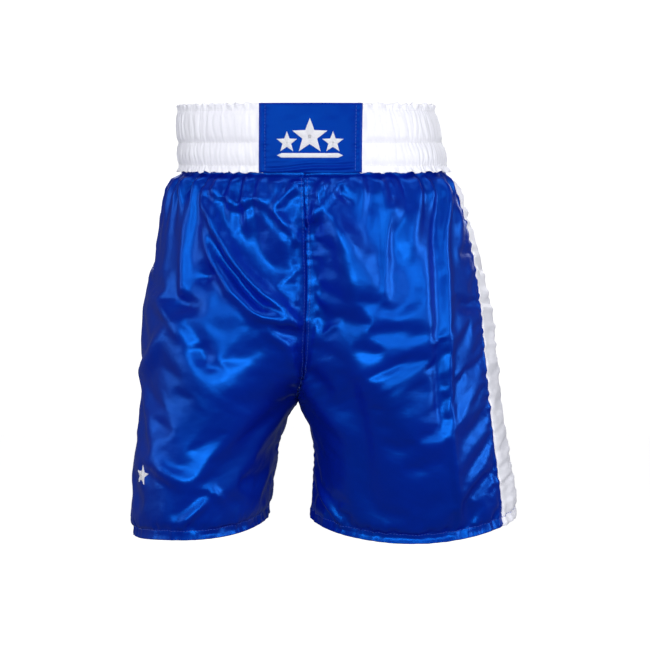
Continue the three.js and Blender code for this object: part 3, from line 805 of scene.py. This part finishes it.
def crimps(place, closest, widest, seed):
    """Rounded pleats side by side with sharp valleys between them, of uneven width and height."""
    dice = np.random.default_rng(seed)
    start, end = float(np.min(place)) - widest, float(np.max(place)) + widest
    valleys = start + np.cumsum(dice.uniform(closest, widest, int((end - start) / closest) + 4))
    heights = dice.uniform(0.45, 1.0, len(valleys))
    i = np.clip(np.searchsorted(valleys, place) - 1, 0, len(valleys) - 2)
    f = np.clip((place - valleys[i]) / (valleys[i + 1] - valleys[i]), 0, 1)
    return heights[i] * (4 * f * (1 - f)) ** 0.7


outer_drops = np.array([76, 74.6, 73.2, 71.8, 70.4, 69.3, 68.3, 67.3, 66, 64, 61.5, 58.5, 55.5, 52.5,
                        49.5, 47, 45.2, 43.9, 42.9, 41.9, 40.4, 38, 35, 31.5, 27.5, 23.5, 19.5, 16,
                        13, 10.6, 8.8, 7.5, 6.3, 5, 3.6, 2.2, 1.0])
inner_drops = np.array([1, 3, 5, 7.5, 10, 16, 24, 32, 38, 42.9, 48, 56, 63, 68.3, 72, 76])
fold_over = [(0.35, 1.0), (0.0, 1.5), (0.35, 2.0)]  # drop and inset of the turn at the top
outer_line = ([0, 4, 7.5, 13, 25, 37.5, 42.9, 48.5, 56, 63.5, 68.3, 72, 76],
              [0.5, 0.7, 1.0, -0.6, -1.5, -0.6, 1.0, -0.3, -1.1, -0.3, 0.9, 0.2, -1.1])
inner_line = ([0, 7.5, 13, 25, 37.5, 42.9, 48.5, 56, 63.5, 68.3, 72, 76],
              [2.2, 2.6, 4.2, 4.8, 4.2, 3.0, 4.1, 4.6, 4.1, 3.0, 4.0, 4.3])
line_drops = np.concatenate([outer_drops, [d for d, _ in fold_over], inner_drops])[:, None]
line_insets = np.concatenate([np.interp(outer_drops, *outer_line), [i for _, i in fold_over],
                              np.interp(inner_drops, *inner_line)])[:, None]
on_outer = np.concatenate([np.ones(len(outer_drops)), [0.9, 0.6, 0.4],
                           np.zeros(len(inner_drops))])[:, None]

casing_from = turn_at(badge_sides[1] - 4, line_drops)
casing_to = turn_at(badge_sides[0] + 4, line_drops) + 2 * math.pi
casing_share = np.linspace(0, 1, casing_columns + 1)[None, :]
casing_turn = casing_from + (casing_to - casing_from) * casing_share
ring_turn = np.linspace(0, 2 * math.pi, 2001)
ring = on_band(ring_turn, np.full(2001, 38.0), 0.0)
ring_length = np.concatenate([[0], np.cumsum(np.linalg.norm(np.diff(ring, axis=0), axis=1))])
round_band = np.interp(casing_turn, ring_turn, ring_length)

to_row = np.min([abs(line_drops - row) for row in band_rows], axis=0)
by_row = np.exp(-(to_row / 4.5) ** 2)
wander = (1.2 * np.sin(round_band / 9.0 + line_drops / 7.0)
          + 0.8 * np.sin(round_band / 4.1 - line_drops / 5.0))
upper_half = eased(line_drops, 46, 38)
fine_pleats = (upper_half * crimps(round_band + 0.35 * wander, 3.0, 5.6, 3)
               + (1 - upper_half) * crimps(round_band + 0.35 * wander, 3.0, 5.6, 4))
broad_pleats = (upper_half * crimps(round_band + wander, 5.5, 11.5, 5)
                + (1 - upper_half) * crimps(round_band + wander, 5.0, 10.0, 6))
pleat_height = (by_row * 1.25 * fine_pleats
                + (1 - by_row) * (1.35 * broad_pleats + 0.55 * fine_pleats))
frill = eased(line_drops, 7.5, 0) + eased(line_drops, 68.3, 76)
pleat_height += frill * 0.9 * waves(round_band, 9, 24)
# Where the care label swings, the gathers inside lie flat.
by_label = (1 - eased(abs(casing_turn - math.pi) * band_radius, 20, 27)) * eased(line_drops, 40, 60)
pleat_height = pleat_height * (1 - by_label * (1 - on_outer))
line_insets = line_insets - 0.5 * by_label * (1 - on_outer) * eased(line_drops, 60, 70)
near_badge = np.minimum(abs(casing_turn - casing_from), abs(casing_to - casing_turn)) * band_radius
flat_end = 1 - eased(near_badge, 4.5, 11)
pleated = line_insets - np.where(on_outer > 0, on_outer, -0.55) * pleat_height
flattened = np.where(on_outer > 0, np.maximum(line_insets, 0.6), line_insets)
casing_inset = pleated * (1 - flat_end) + flat_end * flattened
casing_out = on_band(casing_turn, line_drops, casing_inset)
scallop = 0.9 * (fine_pleats - 0.5) + 0.7 * waves(round_band, 10, 26)
casing_out[..., 2] += scallop * (eased(line_drops, 5, 0) + eased(line_drops, 71, 76)) * 0.8

casing_list = casing_out.reshape(-1, 3)
casing_cells = cells(np.arange(len(casing_list)).reshape(casing_out.shape[:2]))
casing_normals = outward(casing_list, casing_cells).reshape(casing_out.shape)
if (casing_normals[10, 100] * (casing_out[10, 100] - np.array([band_lean, 0, 0])))[:2].sum() < 0:
    casing_normals = -casing_normals
casing_in = casing_out - casing_normals * casing_cloth
points, faces = two_sided(casing_out, casing_in, None)
casing = turned_out(put_mesh("waistband_casing_cloth", points, faces, white_satin))
line_steps = np.hypot(np.diff(line_drops[:, 0]), np.diff(line_insets[:, 0]))
down_line = np.cumsum(np.concatenate([[0], line_steps]))
lay_cloth(casing.data, np.tile((round_band * 1.3).ravel(), 2),
          np.tile(np.broadcast_to(down_line[:, None], round_band.shape).ravel(), 2))
sewn_on(casing, "waistband_casing")

# ==== The two elastics inside the casing ====
# Woven webbing with covered rubber cords along it, stretched while the casing is sewn over it.
webbing, webbing_tree, webbing_shader = new_material(
    "elastic_webbing", base_color=(0.78, 0.77, 0.73, 1), roughness=0.85, sheen_weight=0.2)
place = finish_node(webbing_tree, "TexCoord", {})
cords = finish_node(webbing_tree, "TexWave", {
    "Vector": place.outputs["Object"], "Scale": 190, "Distortion": 0.6}, bands_direction="Z")
picks = finish_node(webbing_tree, "TexNoise", {"Vector": place.outputs["Object"], "Scale": 1400})
cord_shade = finish_node(webbing_tree, "Mix", {
    "A": (0.62, 0.61, 0.57, 1), "B": (0.84, 0.83, 0.80, 1), "Factor": cords.outputs["Fac"]},
    data_type="RGBA")
cord_bump = finish_node(webbing_tree, "Bump", {"Distance": 0.0004, "Height": cords.outputs["Fac"]})
pick_bump = finish_node(webbing_tree, "Bump", {
    "Distance": 0.0001, "Height": picks.outputs["Fac"], "Normal": cord_bump.outputs["Normal"]})
join(webbing_tree, webbing_shader, {"Base Color": cord_shade.outputs["Result"],
                                    "Normal": pick_bump.outputs["Normal"]})


def refinished(node, material):
    """A frame node that keeps its shape and gets this material."""
    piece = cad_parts[node]
    piece.data.materials.clear()
    piece.data.materials.append(material)
    return piece


for node, width in (("elastic_upper", 0.032), ("elastic_lower", 0.022)):
    elastic = refinished(node, webbing)

# ==== The badge: the band's plain blue front ====
# Blue satin with its side edges turned under and stitched down over the casing's ends, on a
# pressed-felt stiffener, with a facing of the same satin towards the wearer.
badge_middle = 16.5
badge_stitch_in = 6.5


def badge_sheet(x_from, x_to, inset_of):
    """An outer and an inner grid across the badge, from its top edge down."""
    u = np.linspace(-1, 1, 121)
    x = (x_from + x_to) / 2 + (x_to - x_from) / 2 * (0.8 * u + 0.2 * np.sin(math.pi / 2 * u))
    v = np.linspace(-1, 1, 71)
    drops = band_height / 2 * (1 + 0.85 * v + 0.15 * np.sin(math.pi / 2 * v))
    x, drops = np.meshgrid(x, drops)
    edge = np.minimum(x - x_from, x_to - x)
    top = np.minimum(drops, band_height - drops)
    outer, inner = inset_of(x, drops, edge, top)
    turn = turn_at(x, drops)
    return on_band(turn, drops, outer), on_band(turn, drops, inner), x, drops


def badge_front(x, drops, edge, top):
    proud = 0.95 * (1 - np.exp(-edge / 1.1)) + 0.15
    proud += (0.45 * np.exp(-((edge - 3.0) / 1.7) ** 2)
              - 0.6 * np.exp(-((edge - badge_stitch_in) / 1.1) ** 2))
    pucker = waves(drops, 5, 10) * np.exp(-(edge - badge_stitch_in) ** 2 / 30)
    proud += 0.2 * pucker * eased(edge, 0.5, 4)
    in_emblem = (1 - eased(abs(x - badge_middle), 36, 46)) * (1 - eased(abs(drops - 38), 18, 26))
    proud += (1 - in_emblem) * 0.35 * waves(x * 0.8 + drops * 0.25, 26, 60)
    creases = eased(drops, 56, 64) * waves(drops + 0.06 * (x - 16) + 0.8 * np.sin(x / 11), 5.5, 9)
    proud += 0.28 * creases * eased(edge, 3, 14)
    proud -= 0.8 * np.exp(-top / 0.8)
    return -proud, np.full(x.shape, 0.75) - 0.4 * np.exp(-edge / 1.0)


outer, inner, badge_x, badge_drops = badge_sheet(
    badge_sides[0] - 0.6, badge_sides[1] + 0.6, badge_front)
badge_grid = outer
points, faces = two_sided(outer, inner, None)
# A dimmed copy of the blue satin for the badge's face. It is the same cloth with weaker, rougher
# gloss and a slightly different blue, so that the badge, which faces the front lights, shows less
# light than the cloth elsewhere. This is painted shade, not a different cloth.
shaded_copy_of_blue_satin = satin("shaded_copy_of_blue_satin", (0.0006, 0.012, 0.26), (0.0004, 0.009, 0.22),
                         0.42, 0.4,
                         1.7, (0.006, 0.25, 1.0))
badge = turned_out(put_mesh("badge_satin_cloth", points, faces, shaded_copy_of_blue_satin))
lay_cloth(badge.data, np.tile(badge_x.ravel(), 2), np.tile(badge_drops.ravel(), 2))
sewn_on(badge, "badge_satin")


def badge_back(x, drops, edge, top):
    ripple = 0.3 * waves(drops * 0.3 + x, 12, 30) + 0.15 * waves(drops, 6, 14)
    return (np.full(x.shape, 3.75) + 0.3 * np.exp(-edge / 1.0),
            4.6 + ripple * eased(edge, 0, 8) * 0.8 - 0.4 * np.exp(-top / 1.0))


outer, inner, facing_x, facing_drops = badge_sheet(
    badge_sides[0] - 0.3, badge_sides[1] + 0.3, badge_back)
points, faces = two_sided(outer, inner, None)
facing = turned_out(put_mesh("badge_facing_cloth", points, faces, blue_satin))
lay_cloth(facing.data, np.tile(facing_x.ravel(), 2), np.tile(facing_drops.ravel(), 2))
sewn_on(facing, "badge_facing")

felt, felt_tree, felt_shader = new_material(
    "pressed_felt", base_color=(0.72, 0.72, 0.73, 1), roughness=0.95, sheen_weight=0.35)
place = finish_node(felt_tree, "TexCoord", {})
fibres = finish_node(felt_tree, "TexNoise", {
    "Vector": place.outputs["Object"], "Scale": 900, "Detail": 5, "Distortion": 1.5})
fibre_shade = finish_node(felt_tree, "Mix", {
    "A": (0.6, 0.6, 0.62, 1), "B": (0.82, 0.82, 0.82, 1), "Factor": fibres.outputs["Fac"]},
    data_type="RGBA")
fibre_bump = finish_node(felt_tree, "Bump", {"Distance": 0.0002, "Height": fibres.outputs["Fac"]})
join(felt_tree, felt_shader, {"Base Color": fibre_shade.outputs["Result"],
                              "Normal": fibre_bump.outputs["Normal"]})
stiffener = refinished("badge_stiffener", felt)

# ==== Topstitching ====
# Lockstitch in polyester thread: short stitches that sink into the cloth at both ends. White on
# the band, and blue at the badge's edges, beside the centre seam and round both hems.
stitch_sides = 6
beside_seam, above_edge = 3.2, 10.5  # from the centre seam, and above the hem


def thread_finish(name, colour, dark):
    """Twisted thread: fine slanting ply lines with a slight sheen."""
    material, tree, shader = new_material(name, roughness=0.55, sheen_weight=0.15)
    place = finish_node(tree, "TexCoord", {})
    ply = finish_node(tree, "TexWave", {"Vector": place.outputs["Object"], "Scale": 700,
                                        "Distortion": 1.0}, bands_direction="DIAGONAL")
    shade = finish_node(tree, "Mix", {"A": (*dark, 1), "B": (*colour, 1),
                                      "Factor": ply.outputs["Fac"]}, data_type="RGBA")
    bump = finish_node(tree, "Bump", {"Strength": 0.5, "Distance": 0.0001,
                                      "Height": ply.outputs["Fac"]})
    join(tree, shader, {"Base Color": shade.outputs["Result"], "Normal": bump.outputs["Normal"]})
    return material


blue_thread = thread_finish("blue_thread", (0.01, 0.09, 0.62), (0.0, 0.03, 0.33))
white_thread = thread_finish("white_thread", (0.9, 0.9, 0.92), (0.66, 0.66, 0.72))


def stitch_row(node, path, normals, material, length=2.9, gap=1.0, thickness=0.55):
    """A row of separate stitches along a line on the cloth, as one piece."""
    lengths = np.concatenate([[0], np.cumsum(np.linalg.norm(np.diff(path, axis=0), axis=1))])
    count = int((lengths[-1] - gap) / (length + gap))
    pitch = (lengths[-1] - gap) / count
    share = np.array([0, 0.12, 0.5, 0.88, 1.0])
    sink = np.array([-0.30, 0.14, 0.24, 0.14, -0.30])
    girth = np.array([0.45, 0.95, 1.0, 0.95, 0.45]) * thickness / 2
    at = (gap + pitch * np.arange(count))[:, None] + (pitch - gap) * share
    centre = np.stack([np.interp(at, lengths, path[:, i]) for i in range(3)], -1)
    up = np.stack([np.interp(at, lengths, normals[:, i]) for i in range(3)], -1)
    up /= np.linalg.norm(up, axis=2, keepdims=True)
    ahead = np.gradient(centre, axis=1)
    ahead /= np.linalg.norm(ahead, axis=2, keepdims=True)
    aside = np.cross(ahead, up)
    aside /= np.linalg.norm(aside, axis=2, keepdims=True)
    centre = centre + up * sink[None, :, None]
    angle = 2 * math.pi * np.arange(stitch_sides) / stitch_sides
    ring = (np.cos(angle)[:, None] * aside[:, :, None, :]
            + np.sin(angle)[:, None] * up[:, :, None, :])
    points = centre[:, :, None, :] + ring * girth[None, :, None, None]
    stations = len(share)
    own = np.arange(stations * stitch_sides).reshape(stations, stitch_sides)
    own = np.concatenate([own, own[:, :1]], axis=1)
    faces = []
    walls = cells(own)
    for number in range(count):
        base = number * stations * stitch_sides
        faces += (walls + base).tolist()
        faces.append((own[0, :-1][::-1] + base).tolist())
        faces.append((own[-1, :-1] + base).tolist())
    piece = turned_out(put_mesh(node + "_thread", points.reshape(-1, 3), faces, material))
    sewn_on(piece, node)


def at_distance(wanted, distances, values):
    """A point or direction read where the distance is the wanted one."""
    return [np.interp(wanted, distances, values[:, i]) for i in range(3)]


band_normal = casing_normals[:len(outer_drops)].copy()
straight_out = casing_out[:len(outer_drops)] - np.array([band_lean, 0, 0])
band_normal = band_normal * 0.35 + straight_out * np.array([1, 1, 0]) / 130 * 0.65
for name, row in zip(("top", "middle", "bottom"), band_rows):
    line = int(np.argmin(abs(outer_drops - row)))
    shown = slice(8, -8)
    stitch_row(f"waistband_stitch_{name}", casing_out[line, shown], band_normal[line, shown],
               white_thread, 3.0, 0.9)

for name, stitch_x in (("right", badge_sides[0] + badge_stitch_in),
                       ("left", badge_sides[1] - badge_stitch_in)):
    column = int(np.argmin(abs(badge_x[0] - stitch_x)))
    path = badge_grid[2:-2, column]
    stitch_row(f"badge_stitch_{name}", path, np.tile(np.array([[0.0, -1.0, 0.0]]), (len(path), 1)),
               blue_thread, 2.6, 0.9)

for side, side_name in side_names.items():
    numbers = fine_numbers[side]
    for face, end in (("front", 0), ("back", numbers.shape[1] - 1)):
        path, normals = [], []
        for row in range(len(fine_rows)):
            if not seam_drop + 2 < fine_drop[side][row, end] < 336:
                continue
            line = fine_points[numbers[row]]
            away = abs(across_mm[side][row] - across_mm[side][row, end])
            order = np.argsort(away)
            near = order[:12]
            up = fine_normals[numbers[row]]
            path.append(at_distance(beside_seam, away[near], line[near]))
            normals.append(at_distance(beside_seam, away[near], up[near]))
        stitch_row(f"centre_{face}_stitch_{side_name}", np.array(path), np.array(normals),
                   blue_thread, 2.7, 0.9)
    above_hem = down_mm[side][-1:] - down_mm[side]
    path, normals = [], []
    for column in range(1, numbers.shape[1] - 1):
        heights = above_hem[::-1, column]
        line, up = fine_points[numbers[::-1, column]], fine_normals[numbers[::-1, column]]
        path.append(at_distance(above_edge, heights, line))
        normals.append(at_distance(above_edge, heights, up))
    stitch_row(f"hem_stitch_{side_name}", np.array(path), np.array(normals),
               blue_thread, 2.7, 0.9)

# ==== Embroidery ====
# Padded satin stitch in white rayon: three stars and a bar on the badge, and one small star low
# on the right leg. The threads lie side by side across each arm, and grooves part the arms.
rayon, rayon_tree, rayon_shader = new_material(
    "embroidery_rayon", base_color=(0.9, 0.9, 0.93, 1), roughness=0.38, sheen_weight=0.1)
thread_pitch = 0.42
lay = finish_node(rayon_tree, "Attribute", {}, attribute_name="thread")
pitch = finish_node(rayon_tree, "Math", {0: lay.outputs["Fac"], 1: 2 * math.pi / thread_pitch},
                    operation="MULTIPLY")
ridge = finish_node(rayon_tree, "Math", {0: pitch.outputs[0]}, operation="SINE")
strand_shade = finish_node(rayon_tree, "MapRange", {"From Min": -1, "Value": ridge.outputs[0]})
rayon_tone = finish_node(rayon_tree, "Mix", {
    "A": (0.70, 0.70, 0.78, 1), "B": (0.94, 0.94, 0.97, 1),
    "Factor": strand_shade.outputs["Result"]}, data_type="RGBA")
strand_bump = finish_node(rayon_tree, "Bump", {
    "Strength": 0.8, "Distance": 0.0001, "Height": ridge.outputs[0]})
join(rayon_tree, rayon_shader, {"Base Color": rayon_tone.outputs["Result"],
                                "Normal": strand_bump.outputs["Normal"]})
star_waist, padding, embroidery_foot = 0.42, 1.0, -0.6


def embroidered(node, flat, heights, faces, threads, place):
    points = [place(x, y, h) for (x, y), h in zip(flat, heights)]
    piece = turned_out(put_mesh(node + "_embroidery", points, faces, rayon))
    layer = piece.data.attributes.new("thread", "FLOAT", "POINT")
    layer.data.foreach_set("value", np.asarray(threads, np.float32))
    sewn_on(piece, node)


def star(node, radius, place):
    per_edge = 10
    corners = [(radius * (star_waist if i % 2 else 1), i * math.pi / 5) for i in range(10)]
    rim = []
    for (r0, a0), (r1, a1) in zip(corners, corners[1:] + corners[:1]):
        p0 = np.array([r0 * math.sin(a0), r0 * math.cos(a0)])
        p1 = np.array([r1 * math.sin(a1), r1 * math.cos(a1)])
        rim += [p0 + (p1 - p0) * k / per_edge for k in range(per_edge)]
    rim = np.array(rim)
    rings = [0.1, 0.2, 0.3, 0.4, 0.5, 0.6, 0.69, 0.77, 0.84, 0.90, 0.95, 0.985, 1.0, 1.0]
    flat, heights, threads = [(0.0, 0.0)], [padding * 0.8], [0.0]
    count = len(rim)
    for number, t in enumerate(rings):
        for point in rim:
            x, y = point * t
            turn = math.atan2(x, y) % (2 * math.pi / 5)
            from_arm = min(turn, 2 * math.pi / 5 - turn)
            r = math.hypot(x, y)
            # distance to the star's edge, along the radius and measured square to the edge
            to_edge = (1 - t) * math.hypot(*point) * 0.42
            to_groove = r * math.sin(math.pi / 5 - from_arm)
            h = padding * (0.25 + 0.75 * (1 - math.exp(-to_edge / (0.055 * radius))))
            h -= 0.34 * padding * math.exp(-(to_groove / 0.45) ** 2) * (1 - t ** 4) * min(1, r / 3)
            flat.append((x, y))
            heights.append(embroidery_foot if number == len(rings) - 1 else h)
            threads.append(r * math.cos(from_arm))
    faces = [(0, 1 + k, 1 + (k + 1) % count) for k in range(count)]
    for number in range(len(rings) - 1):
        base = 1 + number * count
        for k in range(count):
            j = (k + 1) % count
            faces.append((base + k, base + j, base + count + j, base + count + k))
    faces.append(tuple(range(1 + (len(rings) - 1) * count, 1 + len(rings) * count))[::-1])
    embroidered(node, flat, heights, faces, threads, place)


def on_badge(across, up):
    """Places embroidery at this spot of the badge."""
    def place(x, y, height):
        drop = 38.0 - y - up
        return on_band(turn_at(badge_middle + across + x, drop), drop, -(1.05 + height)).tolist()
    return place


star_height = 20 * (1 + math.cos(math.pi / 5))
star_base = (2 + 5 - star_height) / 2
for name, across, radius in (("centre", 0, 20), ("right", -25, 12), ("left", 25, 12)):
    star(f"emblem_star_{name}", radius,
         on_badge(across, star_base + radius * math.cos(math.pi / 5)))

bar_half_length, bar_half_height = 36.0, 2.5
bar_x = bar_half_length * np.sin(np.linspace(-math.pi / 2, math.pi / 2, 65))
bar_shares = [-1, -0.96, -0.85, -0.65, -0.35, 0, 0.35, 0.65, 0.85, 0.96, 1]
flat, heights, threads = [], [], []
for underside in (False, True):
    for x in bar_x:
        half = bar_half_height * max(0.02, min(1, (bar_half_length - abs(x)) / 5.0))
        for share in bar_shares:
            dome = 0.2 + 0.8 * math.sqrt(max(0, 1 - share ** 2))
            domed = padding * dome * min(1, 0.35 + half / bar_half_height)
            flat.append((float(x), half * share))
            heights.append(embroidery_foot if underside else domed)
            threads.append(float(x))
top_count = len(flat) // 2
grid = np.arange(top_count).reshape(len(bar_x), len(bar_shares))
under = grid + top_count
bar_faces = [cells(grid), cells(under)[:, ::-1]]
bar_faces += [wall(grid[0], under[0]), wall(under[-1], grid[-1]),
              wall(under[:, 0], grid[:, 0]), wall(grid[:, -1], under[:, -1])]
embroidered("emblem_bar", flat, heights, np.concatenate(bar_faces).tolist(), threads,
            on_badge(0, star_base - 2.5 - 2))

cloth_surface = BVHTree.FromPolygons(fine_points.tolist(), fine_faces.tolist())
star_turn, star_drop = math.radians(46), hem_drop - 77
here = np.array([star_drop])
spot = on_trunk(RIGHT, here, np.array([star_turn]))[0]
beside = on_trunk(RIGHT, here, np.array([star_turn + 0.01]))[0] - spot
below = on_trunk(RIGHT, here + 1, np.array([star_turn]))[0] - spot
star_out = np.cross(beside, below)
star_out /= np.linalg.norm(star_out)
if star_out[1] > 0:
    star_out = -star_out
star_up = -below / np.linalg.norm(below)
star_across = np.cross(star_up, star_out)
star_across /= np.linalg.norm(star_across)


def on_leg(x, y, height):
    start = spot + star_across * x + star_up * y + star_out * 30
    hit, *_ = cloth_surface.ray_cast(Vector(start), Vector(-star_out))
    return (np.array(hit) + star_out * (height + 0.1)).tolist()


star("leg_star", 12, on_leg)

# ==== The care label ====
# A blank woven tab caught in the waist seam at the centre back. It hangs inside and can be
# lifted to be read.
damask, damask_tree, damask_shader = new_material(
    "label_damask", base_color=(0.85, 0.85, 0.86, 1), roughness=0.6, sheen_weight=0.2)
place = finish_node(damask_tree, "TexCoord", {})
ribs = finish_node(damask_tree, "TexWave", {"Vector": place.outputs["Object"], "Scale": 480},
                   bands_direction="Z")
weft = finish_node(damask_tree, "TexWave", {"Vector": place.outputs["Object"], "Scale": 620},
                   bands_direction="X")
twill = finish_node(damask_tree, "Math", {0: ribs.outputs["Fac"], 1: weft.outputs["Fac"]},
                    operation="ADD")
damask_tone = finish_node(damask_tree, "Mix", {
    "A": (0.72, 0.72, 0.76, 1), "B": (0.88, 0.88, 0.90, 1), "Factor": weft.outputs["Fac"]},
    data_type="RGBA")
damask_bump = finish_node(damask_tree, "Bump", {
    "Strength": 0.5, "Distance": 0.00015, "Height": twill.outputs[0]})
join(damask_tree, damask_shader, {"Base Color": damask_tone.outputs["Result"],
                                  "Normal": damask_bump.outputs["Normal"]})

label_low, label_high = (np.array(corner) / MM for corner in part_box("care_label"))
label_x, label_z = np.meshgrid(np.linspace(label_low[0], label_high[0], 25),
                               np.linspace(label_high[2], label_low[2], 33))
hang = (label_high[2] - label_z) / (label_high[2] - label_low[2])
label_y = (label_low[1] + label_high[1]) / 2 + 0.9 * np.sin(hang * 2.6) * hang \
    + 0.5 * hang * np.cos((label_x - label_low[0]) / 34 * 5)
selvedge = np.minimum(label_x - label_low[0], label_high[0] - label_x)
half_thick = 0.22 + 0.12 * np.exp(-selvedge / 0.8) + 0.14 * (hang > 0.94)
outer = np.stack([label_x, label_y + half_thick, label_z], -1)
inner = np.stack([label_x, label_y - half_thick, label_z], -1)
points, faces = two_sided(outer, inner, None)
label = turned_out(put_mesh("care_label_tab", points, faces, damask))
sewn_on(label, "care_label", body="care_label")
